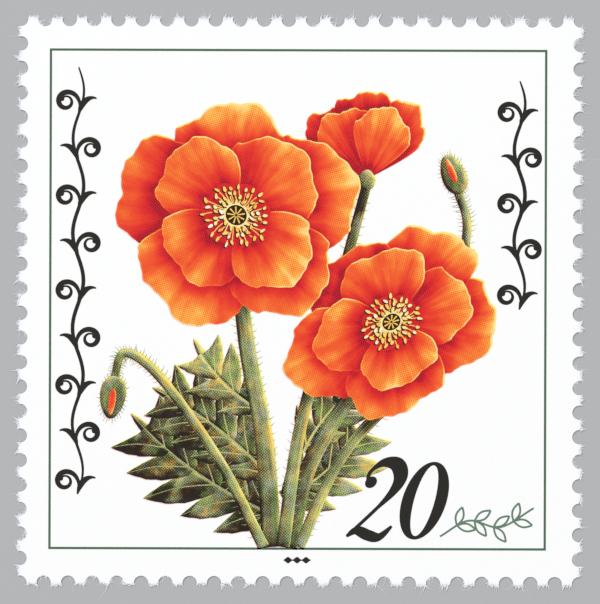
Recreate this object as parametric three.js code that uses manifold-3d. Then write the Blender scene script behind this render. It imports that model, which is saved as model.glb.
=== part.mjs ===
// A gummed, perforated postage stamp, lying face up on its gum. Millimetres, +Z out of the
// printed face, +Y towards the top of the print, origin at the middle of the gummed back.
import * as THREE from 'three';
import { mergeVertices } from 'three/addons/utils/BufferGeometryUtils.js';
import Module from 'manifold-3d';

const { sin, cos, PI } = Math;

// ---------------------------------------------------------------- driving dimensions

// The sheet. Its teeth lie between round holes, with a hole at each corner.
const PITCH_X = 1.533; // hole to hole along the top and bottom edges
const PITCH_Y = 1.544; // hole to hole along the left and right edges
const TEETH = 23; // on each edge
const HOLE_RADIUS = 0.455;
const TORN_REACH = 0.14; // how far the furthest torn tips stand past the line of hole centres
const TIPS = [0.03, 0.17]; // and the range that their reach is drawn from
const SHOULDERS = [0.01, 0.11]; // how far past that line each hole's arc goes on
const GUM_THICKNESS = 0.015;
const PAPER_THICKNESS = 0.095;
const INK_THICKNESS = 0.01;
const SLACK = 0.003; // how far a cut film's edge may lie from its drawn line

// The print sits a little off the middle of the perforation. All of its places below are
// measured from the middle of the frame line.
const PRINT_SHIFT = [-0.14, 0.13];
const FRAME_SIZE = [31.2, 31.4];
const FRAME_LINE = 0.14;
const FOOT = -FRAME_SIZE[1] / 2 + 0.1; // where the stems stand, just inside the frame line

const COLOURS = {
  paper: 0xf3f3f1,
  gum: 0xe6dfca,
  frameGreen: 0x4d7058,
  nearBlack: 0x2b2824,
  leafGreen: 0x66754f,
  budGreen: 0x7d8a5c,
  crimson: 0x8e1c12,
  stamenYellow: 0xf5c23a,
  eyeBlack: 0x1c1410,
  petals: [0xe8421c, 0xf2601f, 0xd9331a, 0xf57b2b],
  cupInside: 0xb52414,
};

// Blooms seen from the front, leaning away from the eye along the direction `lean`.
const OPEN_BLOOMS = [
  { name: 'right_bloom', centre: [5.9, -1.4], radius: 6.9, lean: -55, squash: 0.82, turn: -10 },
  { name: 'left_bloom', centre: [-3.9, 5.3], radius: 7.7, lean: 62, squash: 0.93, turn: 20 },
];
const OUTER_PETALS = 5;
const INNER_PETALS = 4;
const INNER_SHARE = 0.74; // length of an inner petal over that of an outer one
const PETAL_TONES = [0, 1, 2, 3, 1, 2, 0, 1, 3];
const THROAT_SHARE = 0.279; // radii over the bloom's radius
const STAMEN_SHARES = [0.097, 0.253];
const EYE_SHARE = 0.0935;
const STAMENS = 14;

// The bloom seen from the side: [heading, length, half spread, colour] of each petal.
const CUP_ROOT = [4.35, 7.6];
const CUP_PETALS = [
  [128, 5.2, 30, COLOURS.petals[2]],
  [60, 5.4, 32, COLOURS.petals[2]],
  [93, 5.5, 34, COLOURS.cupInside],
  [114, 4.7, 40, COLOURS.petals[1]],
  [72, 4.6, 38, COLOURS.petals[0]],
];
const CUP_BASE = { centre: [4.3, 7.55], heading: 80, length: 1.3, width: 1.1 };

// Closed buds, and the strip of petal that shows in each.
const BUDS = [
  { name: 'left_bud', centre: [-11.65, -6.2], heading: -97, length: 2.7, width: 1.6 },
  { name: 'right_bud', centre: [9.75, 7.9], heading: 112, length: 2.6, width: 1.5 },
];
const SLIT = { shift: 0.1, length: 0.62, width: 0.28 }; // shares of the bud's own length and width

// Stems from the foot up, with their widths at the foot.
const STEMS = [
  { width: 1.15, path: [[-1.6, FOOT], [-2.1, -9], [-3.2, -3], [-3.9, 3]] },
  { width: 1.05, path: [[-0.55, FOOT], [0.7, -10.6], [3.2, -6.2], [5.6, -2.5]] },
  { width: 0.8, path: [[-0.9, FOOT], [0.2, -8], [2.4, 0], [4.3, 7.2]] },
  { width: 0.65, path: [[-2.1, FOOT], [-4.9, -10.2], [-8.6, -5], [-10.9, -3.4], [-11.6, -5.2]] },
  { width: 0.65, path: [[0.1, FOOT], [3.1, -9.5], [8.9, -3], [10.6, 4], [10, 7]] },
];
const STEM_TAPER = 0.35;

// Lobed leaves. `bend` is how far the midrib turns from root to tip.
const LEAVES = [
  { root: [-1.4, -13.6], heading: 158, length: 11.2, reach: 4, bend: -26, lobes: 5 },
  { root: [-0.9, -12.6], heading: 26, length: 7.6, reach: 3.3, bend: 36, lobes: 4 },
  { root: [-1.7, -11.2], heading: 132, length: 9.4, reach: 3.5, bend: 22, lobes: 5 },
  { root: [0.4, -9.6], heading: 66, length: 6.6, reach: 2.8, bend: -38, lobes: 3 },
  { root: [-2.4, -7], heading: 150, length: 6.2, reach: 2.6, bend: -34, lobes: 3 },
];
const LOBE_LEAN = 50; // degrees from the midrib to a lobe

// Ornament and numeral.
const SCROLLS = [
  { name: 'left_scroll', x: -13.85, low: -12.3, high: 14.6, volutes: 9 },
  { name: 'right_scroll', x: 13.95, low: -0.6, high: 13.8, volutes: 5 },
];
const SCROLL_SWAY = 0.34;
const NUMERAL_HEIGHT = 4.9;
const NUMERAL_FOOT = -15.1;
const NUMERAL_SLANT = 0.26;
const TWO_LEFT = 2.9;
const ZERO_LEFT = 5.9;
const SPRIG_PATH = [[9, -14.9], [10.8, -13.9], [12.8, -14.3], [14.9, -13.1]];
const SPRIG_LINE = 0.12;
const FOOT_ORNAMENT = { width: 1.7, height: 0.4, drop: 0.72 }; // below the frame line

// ---------------------------------------------------------------- points and lines

const radians = (degrees) => (degrees * PI) / 180;
const from = (p, angle, distance) => [p[0] + distance * cos(angle), p[1] + distance * sin(angle)];
const between = (a, b, share) => [a[0] + (b[0] - a[0]) * share, a[1] + (b[1] - a[1]) * share];
const headingOf = (a, b) => Math.atan2(b[1] - a[1], b[0] - a[0]);
const range = (count) => Array.from({ length: count }, (_, i) => i);

// A repeatable run of numbers from 0 to 1.
function randomRun(seed) {
  let state = seed;
  return () => {
    state = (state * 1664525 + 1013904223) % 4294967296;
    return state / 4294967296;
  };
}

// A smooth curve through every control point (Catmull-Rom).
function smoothCurve(control, steps) {
  const ends = [between(control[1], control[0], 2), between(control.at(-2), control.at(-1), 2)];
  const through = [ends[0], ...control, ends[1]];
  const points = [];
  for (let j = 1; j < control.length; j++) {
    const [a, b, c, d] = through.slice(j - 1, j + 3);
    for (const t of range(steps).map((i) => i / steps)) {
      points.push([0, 1].map((k) => 0.5 * (
        2 * b[k]
        + (c[k] - a[k]) * t
        + (2 * a[k] - 5 * b[k] + 4 * c[k] - d[k]) * t * t
        + (3 * b[k] - a[k] - 3 * c[k] + d[k]) * t * t * t
      )));
    }
  }
  points.push(control.at(-1));
  return points;
}

// The outline of a stroke along a line; width(s) is its full width at share s of the line.
function ribbon(line, width) {
  const last = line.length - 1;
  const left = [];
  const right = [];
  line.forEach((p, i) => {
    const across = headingOf(line[Math.max(0, i - 1)], line[Math.min(last, i + 1)]) + PI / 2;
    left.push(from(p, across, width(i / last) / 2));
    right.push(from(p, across, -width(i / last) / 2));
  });
  return [...left, ...right.reverse()];
}

// A line whose bend, in radians per millimetre, grows evenly along it.
function curl(start, heading, length, firstBend, lastBend, steps) {
  const points = [start];
  const step = length / steps;
  let angle = heading;
  for (const i of range(steps)) {
    const bend = firstBend + ((lastBend - firstBend) * (i + 0.5)) / steps;
    angle += (bend * step) / 2;
    points.push(from(points.at(-1), angle, step));
    angle += (bend * step) / 2;
  }
  return points;
}

const disc = (centre, radius, steps) => range(steps).map((i) => from(centre, (2 * PI * i) / steps, radius));

function rectangle(width, height) {
  const [x, y] = [width / 2, height / 2];
  return [[-x, -y], [x, -y], [x, y], [-x, y]];
}

// ---------------------------------------------------------------- the perforated outline

// Counterclockwise from the lower left corner hole. Each hole bites an arc out of the sheet that
// runs on a little past the line of hole centres, to the shoulders of the torn teeth.
function perforatedOutline(stepsPerHole) {
  const random = randomRun(1989);
  const drawn = ([low, high]) => low + (high - low) * random();
  const shoulder = () => Math.asin(drawn(SHOULDERS) / HOLE_RADIUS);
  const [x, y] = [(TEETH * PITCH_X) / 2, (TEETH * PITCH_Y) / 2];
  const edges = [
    { start: [-x, -y], heading: 0, pitch: PITCH_X },
    { start: [x, -y], heading: PI / 2, pitch: PITCH_Y },
    { start: [x, y], heading: PI, pitch: PITCH_X },
    { start: [-x, y], heading: -PI / 2, pitch: PITCH_Y },
  ];
  const points = [];
  for (const { start, heading, pitch } of edges) {
    for (const hole of range(TEETH)) {
      const centre = from(start, heading, pitch * hole);
      const corner = hole === 0;
      const first = heading + (corner ? PI / 2 : PI) + shoulder();
      const last = heading - shoulder();
      const steps = corner ? Math.ceil(stepsPerHole / 2) : stepsPerHole;
      for (const i of range(steps + 1)) {
        points.push(from(centre, first + ((last - first) * i) / steps, HOLE_RADIUS));
      }
      for (const share of [0.36, 0.62]) {
        const foot = from(centre, heading, pitch * (share + drawn([-0.04, 0.04])));
        points.push(from(foot, heading - PI / 2, Math.min(TORN_REACH, drawn(TIPS))));
      }
    }
  }
  return points;
}

// ---------------------------------------------------------------- outlines of the print

// A point of an open bloom, at a radius and angle in the bloom's own plane.
function seen(bloom, radius, angle) {
  const lean = radians(bloom.lean);
  const u = radius * cos(angle - lean) * bloom.squash;
  const v = radius * sin(angle - lean);
  return from(from(bloom.centre, lean, u), lean + PI / 2, v);
}

// A broad fan with a ruffled rim, whose base is at the bloom's centre. Angles in degrees.
function petal(bloom, heading, length, halfSpread, wave, steps = 28) {
  return range(steps).map((i) => {
    const t = (2 * i) / steps - 1;
    const rim = Math.sqrt(Math.max(0, cos((PI * t) / 2)));
    const ruffle = 1 + 0.035 * sin(9 * t + wave) + 0.02 * sin(19 * t + 2 * wave);
    const angle = radians(heading + halfSpread * sin((PI * t) / 2));
    return seen(bloom, length * rim * ruffle, angle);
  });
}

function openBloomPetals(bloom) {
  const outer = range(OUTER_PETALS).map((i) => {
    const length = bloom.radius * (1 + 0.045 * sin(4 * i + bloom.turn));
    return petal(bloom, bloom.turn + (360 / OUTER_PETALS) * i, length, 48, 1.7 * i + bloom.turn);
  });
  const inner = range(INNER_PETALS).map((i) => {
    const length = bloom.radius * INNER_SHARE * (1 + 0.06 * sin(5 * i + bloom.turn));
    return petal(bloom, bloom.turn + 25 + (360 / INNER_PETALS) * i, length, 54, 2.3 * i + bloom.turn);
  });
  return [...outer, ...inner];
}

// A round spot at a bloom's heart, with a rim that waves seven times if wave isn't 0.
function heart(bloom, radius, steps, wave = 0) {
  return range(steps).map((i) => {
    const angle = (2 * PI * i) / steps;
    return seen(bloom, radius * (1 + wave * sin(7 * angle)), angle);
  });
}

// A ring of filaments, each with an anther at its tip.
function stamenRing(bloom) {
  const [inner, outer] = STAMEN_SHARES.map((share) => share * bloom.radius);
  return range(STAMENS).flatMap((i) => {
    const angle = (2 * PI * i) / STAMENS;
    const reach = outer * (0.88 + 0.12 * sin(5 * i));
    return [
      seen(bloom, inner, angle - 0.1),
      seen(bloom, reach - 0.28, angle - 0.035),
      seen(bloom, reach, angle - 0.09),
      seen(bloom, reach, angle + 0.09),
      seen(bloom, reach - 0.28, angle + 0.035),
      seen(bloom, inner, angle + 0.1),
    ];
  });
}

// An egg shape, with its narrower end along its heading.
function egg({ centre, heading, length, width }, steps = 20) {
  return range(steps).map((i) => {
    const angle = (2 * PI * i) / steps;
    const along = from(centre, radians(heading), (length / 2) * cos(angle));
    const half = (width / 2) * sin(angle) * (1 - 0.18 * cos(angle));
    return from(along, radians(heading) + PI / 2, half);
  });
}

function slitOf(bud) {
  const centre = from(bud.centre, radians(bud.heading), bud.length * SLIT.shift);
  return egg({
    centre,
    heading: bud.heading,
    length: bud.length * SLIT.length,
    width: bud.width * SLIT.width,
  }, 12);
}

// The outlines of a leaf: the blade along its midrib, and broad pointed lobes in pairs along it.
// `back` is the direction across a lobe, towards the leaf's root.
function leafOutlines({ root, heading, length, reach, bend, lobes }) {
  const start = radians(heading);
  const turn = radians(bend);
  const rib = (s) => {
    const half = (turn * s) / 2;
    return { at: from(root, start + half, (length * s * sin(half)) / (half || 1)), way: start + turn * s };
  };
  const spine = range(2 * lobes + 1).map((i) => rib(0.001 + (0.999 * i) / (2 * lobes)).at);
  const outlines = [ribbon(spine, (s) => 0.34 * reach * (1 - s) ** 0.6 * (1 + 0.6 * s) + 0.02)];
  for (const side of [1, -1]) {
    for (const j of range(lobes)) {
      const [low, middle, high] = [0.02, 0.5, 1.12].map((part) => rib((j + part) / (lobes + 0.75)));
      const share = (j + 0.5) / (lobes + 0.75);
      const size = reach * sin(PI * (0.2 + 0.72 * share)) ** 0.8 * (1 + 0.08 * sin(3 * j + heading));
      const out = middle.way + side * radians(LOBE_LEAN);
      const back = out + (side * PI) / 2;
      outlines.push([
        low.at,
        from(low.at, low.way + (side * PI) / 2, 0.1 * reach),
        from(from(middle.at, out, 0.52 * size), back, 0.25 * size),
        from(middle.at, out, size),
        from(from(middle.at, out, 0.6 * size), back, -0.13 * size),
        from(high.at, high.way + (side * PI) / 2, 0.12 * reach),
        high.at,
      ]);
    }
  }
  return outlines;
}

// A vertical scroll: a swaying stem, with a volute and a drop-shaped leaf in every bend.
function scrollOutlines({ x, low, high, volutes }) {
  const steps = 4 * volutes;
  const stem = range(steps + 1).map((i) => [
    x + SCROLL_SWAY * sin((PI * volutes * i) / steps),
    low + ((high - low) * i) / steps,
  ]);
  const outlines = [ribbon(stem, (s) => 0.08 + 0.16 * Math.sqrt(Math.max(0, sin(PI * s))))];
  for (const k of range(volutes)) {
    const side = k % 2 === 0 ? 1 : -1;
    const start = [x, low + ((high - low) * k) / volutes];
    const rise = Math.atan2(high - low, side * SCROLL_SWAY * PI * volutes);
    const volute = curl(start, rise, 4.9, side * 0.53, side * 3.25, 12);
    const leaf = curl(start, rise + side * 0.1, 1.75, -side * 0.1, -side * 1.9, 4);
    outlines.push(
      ribbon(volute, (s) => 0.11 + 0.23 * sin(PI * Math.min(0.999, 1.05 * s)) ** 1.3),
      disc(volute.at(-1), 0.15, 6),
      ribbon(leaf, (s) => 0.09 + 0.36 * Math.max(0, sin(PI * s)) ** 1.2 * (1 - 0.35 * s)),
    );
  }
  return outlines;
}

// Numeral points are drawn in a box of height 1, then slanted and placed.
const numeralPoint = (left) => ([x, y]) => [
  left + NUMERAL_HEIGHT * (x + NUMERAL_SLANT * y),
  NUMERAL_FOOT + NUMERAL_HEIGHT * y,
];

function twoOutlines() {
  const bow = smoothCurve(
    [[0.13, 0.72], [0.12, 0.86], [0.26, 0.985], [0.44, 0.965], [0.53, 0.8], [0.47, 0.6], [0.28, 0.34],
      [0.04, 0.045]],
    3,
  );
  const foot = smoothCurve([[0.03, 0.04], [0.14, 0.115], [0.3, 0.055], [0.45, 0.03], [0.58, 0.17]], 3);
  const swell = (s) => Math.max(0, sin((PI * (s - 0.18)) / 0.64)) ** 1.2;
  return [
    ribbon(bow, (s) => 0.05 + (s > 0.18 && s < 0.82 ? 0.135 * swell(s) : 0)),
    ribbon(foot, (s) => 0.035 + 0.1 * Math.max(0, sin(PI * s)) ** 0.9),
    disc([0.165, 0.735], 0.075, 10),
  ].map((outline) => outline.map(numeralPoint(TWO_LEFT)));
}

function zeroOutline(halfWidth, halfHeight) {
  return range(28).map((i) => {
    const angle = (2 * PI * i) / 28;
    return numeralPoint(ZERO_LEFT)([0.3 + halfWidth * cos(angle), 0.5 + halfHeight * sin(angle)]);
  });
}

// A bowed line between two points.
function bow(a, b, bulge, steps) {
  const across = headingOf(a, b) + PI / 2;
  return range(steps + 1).map((i) => from(between(a, b, i / steps), across, bulge * sin((PI * i) / steps)));
}

// A thin line drawing of a twig with pairs of leaves.
function sprigOutlines() {
  const twig = smoothCurve(SPRIG_PATH, 5);
  const outlines = [ribbon(twig, () => SPRIG_LINE)];
  for (const i of [3, 6, 9, 12]) {
    const way = headingOf(twig[i - 1], twig[i + 1]);
    for (const side of [1, -1]) {
      const tip = from(twig[i], way + side * 0.75, 1.2);
      for (const bulge of [0.24, -0.24]) {
        outlines.push(ribbon(bow(twig[i], tip, bulge, 3), () => SPRIG_LINE));
      }
    }
  }
  return outlines;
}

// A row of three lozenges on a fine line.
function footOrnament() {
  const { width, height, drop } = FOOT_ORNAMENT;
  const y = -FRAME_SIZE[1] / 2 - drop;
  const line = range(25).map((i) => [width * (i / 24 - 0.5), y]);
  return ribbon(line, (s) => 0.07 + (height - 0.07) * sin(3 * PI * s) ** 2);
}

// ---------------------------------------------------------------- the print, back to front

// Each entry is one printed colour area: the bodies it shows as, largest first, its colour, its
// outlines and, for a ring, the outline of its hole.
function printedAreas() {
  const areas = [{
    names: ['frame_line'],
    colour: COLOURS.frameGreen,
    outlines: [rectangle(FRAME_SIZE[0] + FRAME_LINE, FRAME_SIZE[1] + FRAME_LINE)],
    hole: rectangle(FRAME_SIZE[0] - FRAME_LINE, FRAME_SIZE[1] - FRAME_LINE),
  }];
  areas.push({
    names: ['stems_and_leaves', 'cup_stem', 'bud_stem'],
    colour: COLOURS.leafGreen,
    outlines: [
      ...LEAVES.flatMap(leafOutlines),
      ...STEMS.map(({ width, path }) => (
        ribbon(smoothCurve(path, 4), (s) => width * (1.1 - STEM_TAPER * s))
      )),
    ],
  });
  for (const bud of BUDS) {
    areas.push({ names: [bud.name], colour: COLOURS.budGreen, outlines: [egg(bud)] });
    areas.push({ names: [`${bud.name}_slit`], colour: COLOURS.petals[0], outlines: [slitOf(bud)] });
  }
  const upright = { centre: CUP_ROOT, lean: 0, squash: 1 };
  CUP_PETALS.forEach(([heading, length, halfSpread, colour], i) => {
    const outline = petal(upright, heading, length, halfSpread, 1.9 * i);
    areas.push({ names: [`cup_petal_${i + 1}`], colour, outlines: [outline] });
  });
  areas.push({ names: ['cup_base'], colour: COLOURS.budGreen, outlines: [egg(CUP_BASE, 14)] });
  for (const bloom of OPEN_BLOOMS) {
    openBloomPetals(bloom).forEach((outline, i) => {
      const colour = COLOURS.petals[PETAL_TONES[i]];
      areas.push({ names: [`${bloom.name}_petal_${i + 1}`], colour, outlines: [outline] });
    });
    areas.push({
      names: [`${bloom.name}_throat`],
      colour: COLOURS.crimson,
      outlines: [heart(bloom, THROAT_SHARE * bloom.radius, 28, 0.05)],
    });
    areas.push({
      names: [`${bloom.name}_stamens`],
      colour: COLOURS.stamenYellow,
      outlines: [stamenRing(bloom)],
    });
    areas.push({
      names: [`${bloom.name}_eye`],
      colour: COLOURS.eyeBlack,
      outlines: [heart(bloom, EYE_SHARE * bloom.radius, 18)],
    });
  }
  for (const scroll of SCROLLS) {
    areas.push({ names: [scroll.name], colour: COLOURS.nearBlack, outlines: scrollOutlines(scroll) });
  }
  areas.push({ names: ['numeral_2'], colour: COLOURS.nearBlack, outlines: twoOutlines() });
  areas.push({
    names: ['numeral_0'],
    colour: COLOURS.nearBlack,
    outlines: [zeroOutline(0.29, 0.5)],
    hole: zeroOutline(0.135, 0.455),
  });
  areas.push({ names: ['sprig'], colour: COLOURS.frameGreen, outlines: sprigOutlines() });
  areas.push({ names: ['foot_ornament'], colour: COLOURS.nearBlack, outlines: [footOrnament()] });
  return areas;
}

// ---------------------------------------------------------------- solids

const wasm = await Module();
wasm.setup();

const shapeOf = (outline) => new THREE.Shape(outline.map(([x, y]) => new THREE.Vector2(x, y)));

function plate(shape, bottom, thickness) {
  const options = { depth: thickness, bevelEnabled: false };
  return new THREE.ExtrudeGeometry(shape, options).translate(0, 0, bottom);
}

function solidOf(outline, bottom, thickness) {
  const geometry = plate(shapeOf(outline), bottom, thickness);
  geometry.deleteAttribute('normal');
  geometry.deleteAttribute('uv');
  const merged = mergeVertices(geometry);
  return new wasm.Manifold(new wasm.Mesh({
    numProp: 3,
    vertProperties: merged.attributes.position.array,
    triVerts: merged.index.array,
  }));
}

const joined = (solids) => solids.reduce((all, solid) => all.add(solid));

const signedArea = (loop) => loop.reduce((sum, [x, y], i) => {
  const [nextX, nextY] = loop[(i + 1) % loop.length];
  return sum + (x * nextY - nextX * y) / 2;
}, 0);

// Leaves out the points that a loop can do without, those within SLACK of a straight line.
function withoutIdlePoints(loop) {
  const kept = [loop[0]];
  for (const i of range(loop.length - 1).map((n) => n + 1)) {
    const next = loop[(i + 1) % loop.length];
    const base = Math.hypot(next[0] - kept.at(-1)[0], next[1] - kept.at(-1)[1]);
    const height = Math.abs(signedArea([kept.at(-1), loop[i], next])) * 2 / base;
    if (height > SLACK) {
      kept.push(loop[i]);
    }
  }
  return kept;
}

// The edge loops of a film's upper face: outer loops run counterclockwise, holes clockwise.
function loopsOf(film) {
  const { vertProperties, triVerts } = film.getMesh();
  const point = (v) => [vertProperties[3 * v], vertProperties[3 * v + 1]];
  const onTop = (v) => vertProperties[3 * v + 2] > INK_THICKNESS / 2;
  const follows = new Map();
  const edges = new Set();
  for (const t of range(triVerts.length / 3)) {
    const corners = [0, 1, 2].map((k) => triVerts[3 * t + k]);
    if (corners.every(onTop)) {
      corners.forEach((v, k) => edges.add(`${v} ${corners[(k + 1) % 3]}`));
    }
  }
  for (const edge of edges) {
    const [a, b] = edge.split(' ').map(Number);
    if (!edges.has(`${b} ${a}`)) {
      follows.set(a, b);
    }
  }
  const loops = [];
  while (follows.size > 0) {
    const loop = [];
    let [v] = follows.keys();
    while (follows.has(v)) {
      loop.push(point(v));
      const next = follows.get(v);
      follows.delete(v);
      v = next;
    }
    loops.push(withoutIdlePoints(loop));
  }
  return loops;
}

function isInside([x, y], loop) {
  return loop.reduce((inside, [ax, ay], i) => {
    const [bx, by] = loop[(i + 1) % loop.length];
    const crosses = ay > y !== by > y && x < ax + ((bx - ax) * (y - ay)) / (by - ay);
    return crosses ? !inside : inside;
  }, false);
}

// The shapes of a film's separate bodies, largest first, each with its holes.
function bodyShapes(film) {
  const loops = loopsOf(film);
  const holes = loops.filter((loop) => signedArea(loop) < 0);
  const outers = loops.filter((loop) => signedArea(loop) > 0);
  outers.sort((a, b) => signedArea(b) - signedArea(a));
  return outers.map((outer) => {
    const shape = shapeOf(outer);
    shape.holes = holes.filter((hole) => isInside(hole[0], outer)).map(shapeOf);
    return shape;
  });
}

function mesh(name, geometry, colour, roughness) {
  const material = new THREE.MeshStandardMaterial({ color: colour, roughness, metalness: 0 });
  const result = new THREE.Mesh(geometry, material);
  result.name = name;
  return result;
}

// The films of ink, each cut back to what shows from the front, all lying on the paper.
function printedFilms() {
  const films = new THREE.Group();
  let inFront = null;
  for (const { names, colour, outlines, hole } of printedAreas().reverse()) {
    let film = joined(outlines.map((outline) => solidOf(outline, 0, INK_THICKNESS)));
    let cutter = joined(outlines.map((outline) => solidOf(outline, -INK_THICKNESS, 3 * INK_THICKNESS)));
    if (hole) {
      const middle = solidOf(hole, -2 * INK_THICKNESS, 5 * INK_THICKNESS);
      film = film.subtract(middle);
      cutter = cutter.subtract(middle);
    }
    if (inFront) {
      film = film.subtract(inFront);
    }
    inFront = inFront ? inFront.add(cutter) : cutter;
    const shapes = bodyShapes(film);
    names.forEach((name, i) => {
      films.add(mesh(name, plate(shapes[i], 0, INK_THICKNESS), colour, 0.7));
    });
  }
  films.position.set(PRINT_SHIFT[0], PRINT_SHIFT[1], GUM_THICKNESS + PAPER_THICKNESS);
  return films;
}

const stamp = new THREE.Group();
const outline = shapeOf(perforatedOutline(7));
stamp.add(mesh('gum', plate(outline, 0, GUM_THICKNESS), COLOURS.gum, 0.35));
stamp.add(mesh('paper', plate(outline, GUM_THICKNESS, PAPER_THICKNESS), COLOURS.paper, 0.85));
stamp.add(printedFilms());

export default stamp;
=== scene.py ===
"""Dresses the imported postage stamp: its torn paper, its dried gum and its printed bouquet."""

import math
from collections import namedtuple
from dataclasses import dataclass
from typing import Callable

import bpy
import numpy as np
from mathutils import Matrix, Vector
from mathutils.geometry import delaunay_2d_cdt


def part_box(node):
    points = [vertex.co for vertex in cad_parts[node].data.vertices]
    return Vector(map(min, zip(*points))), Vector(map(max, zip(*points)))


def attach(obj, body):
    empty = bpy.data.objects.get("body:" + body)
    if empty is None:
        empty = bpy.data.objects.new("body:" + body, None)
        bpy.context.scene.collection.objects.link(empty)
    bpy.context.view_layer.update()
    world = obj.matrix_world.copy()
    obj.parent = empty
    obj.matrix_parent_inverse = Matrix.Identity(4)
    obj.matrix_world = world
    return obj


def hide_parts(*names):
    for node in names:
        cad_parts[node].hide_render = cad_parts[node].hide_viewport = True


# ------------ driving dimensions
# Lengths are in millimetres and angles in degrees, until a mesh is made. A place on the sheet is
# a complex number, x + yj. The print's places are measured from the middle of its frame line.

MM = 0.001

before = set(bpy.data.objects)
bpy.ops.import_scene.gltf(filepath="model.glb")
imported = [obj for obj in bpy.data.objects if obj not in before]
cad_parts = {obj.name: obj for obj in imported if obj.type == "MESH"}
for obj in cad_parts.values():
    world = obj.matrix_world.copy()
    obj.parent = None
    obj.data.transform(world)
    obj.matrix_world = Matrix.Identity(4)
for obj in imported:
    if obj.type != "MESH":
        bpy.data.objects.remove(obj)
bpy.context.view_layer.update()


def middle_of(node):
    low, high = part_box(node)
    return complex(*((low + high) / 2 / MM).xy)


def size_of(node):
    low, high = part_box(node)
    return (high - low) / MM


# The sheet.
TEETH = 23  # on each edge, between round holes
HOLE_RADIUS = 0.455
TORN_REACH = 0.14  # how far the furthest torn tips stand past the line of hole centres
TIPS = (0.03, 0.17)  # and the range that their reach is drawn from
TIP_SHARES = (0.36, 0.62)  # where along the pitch a tooth has its two tips
TIP_SHIFTS = (-0.04, 0.04)  # and the range that their shift from there is drawn from
SHOULDERS = (0.01, 0.11)  # how far past that line each hole's arc goes on
FRAYED = (0.03, 0.07)  # how deep a torn edge is frayed: its spread, and the most
SHOULDER_SHARE = 0.8  # of the way from a shoulder to a tip, over which it frays less
PITCH_X = (size_of("paper").x - 2 * TORN_REACH) / TEETH
PITCH_Y = (size_of("paper").y - 2 * TORN_REACH) / TEETH
HOLE_STEPS = 26
TEAR_STEPS = 7  # between two corners of a tooth
OUTLINE_SEED = 1989
GUM_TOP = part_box("gum")[1].z / MM
PAPER_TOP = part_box("paper")[1].z / MM
INK_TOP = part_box("frame_line")[1].z / MM
# (height, how far the torn edge draws in there), from below.
GUM_LEVELS = ((0.0, 0.03), (GUM_TOP, 0.03))
PAPER_LEVELS = ((GUM_TOP, 0.05), (GUM_TOP + 0.04, 0.0), (PAPER_TOP, 0.06))

# Fibres on the torn edges in tufts and singly, in rough patches that the pins left in the holes,
# and as long wisps: (count, least length, mean of what is added, longest, spread of the heading
# in radians).
TUFTS = (900, 0.08, 0.095, 0.48, 0.45)
FREE_FIBRES = (3600, 0.03, 0.065, math.inf, 0.65)
ROUGH_PATCHES = (75, 0.05, 0.08, math.inf, 0.6)
WISPS = (90, 0.25, 0.22, 1.1, 0.8)
TUFT_FIBRES = 9
PATCH_FIBRES = 30
FIBRE_HALF_WIDTHS = (0.007, 0.015)
FIBRE_HEIGHTS = (GUM_TOP + 0.015, PAPER_TOP - 0.01)
FIBRE_ROOT = 0.03  # how much of a fibre is in the sheet
FIBRE_SECTION = ((1, -0.15), (0, 0.3), (-1, -0.15))  # across and up, in half widths
FIBRE_TAPER = 0.75  # the share of its width that a fibre loses by its end
FIBRE_DRIFT = 0.02  # how far past those heights its end may lie

# The print.
PRINT_CENTRE = middle_of("frame_line")
FRAME_LINE = 0.14
FRAME_WIDTH = size_of("frame_line").x - FRAME_LINE
FRAME_HEIGHT = size_of("frame_line").y - FRAME_LINE
FOOT = -FRAME_HEIGHT / 2 + 0.1  # where the stems stand, just inside the frame line

# Blooms seen from the front, leaning away from the eye along the direction `lean`.
Bloom = namedtuple("Bloom", "name centre radius lean squash turn", defaults=(0, 0, 1, 0))
OPEN_BLOOMS = (
    Bloom("right_bloom", 5.9 - 1.4j, 6.9, -55, 0.82, -10),
    Bloom("left_bloom", -3.9 + 5.3j, 7.7, 62, 0.93, 20),
)
# Their outer and inner petals: (count, heading of the first, length over the bloom's radius, how
# much the lengths vary and how fast, half spread, how fast the ruffles change).
PETAL_RINGS = ((5, 0, 1.0, 0.045, 4, 48, 1.7), (4, 25, 0.74, 0.06, 5, 54, 2.3))
PETAL_TONES = (0.02, 0.08, -0.1, 0.12, 0.04, -0.04, -0.02, 0.04, 0.1)
PETAL_STEPS = 110
THROAT_SHARE = 0.279  # radii over the bloom's radius
STAMEN_SHARES = (0.097, 0.253)
EYE_SHARE = 0.0935
STAMEN_RINGS = ((26, 0.86, 1.12), (22, 0.6, 0.8), (14, 0.42, 0.56))  # count, range of reach
FILAMENT = 0.055
FILAMENT_BOWS = (-0.12, 0.12)
ANTHER_LENGTHS = (0.26, 0.4)
ANTHER_WIDTHS = (0.15, 0.21)
ANTHER_STEPS = 14
ANTHER_SHADOW = -0.05 - 0.05j  # how far it falls from the anther
SHADOW_RIM = 0.06  # how much longer and wider it is
EYE_RAYS = 9
EYE_RAY = 0.05

# The bloom seen from the side: (heading, length, half spread, tone) of each petal.
CUP_ROOT = 4.35 + 7.6j
CUP_PETALS = (
    (128, 5.2, 30, -0.1),
    (60, 5.4, 32, -0.06),
    (93, 5.5, 34, -0.2),
    (114, 4.7, 40, 0.06),
    (72, 4.6, 38, 0.0),
)
CUP_BASE = (4.3 + 7.55j, 80, 1.3, 1.1)  # centre, heading, length, width

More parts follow.
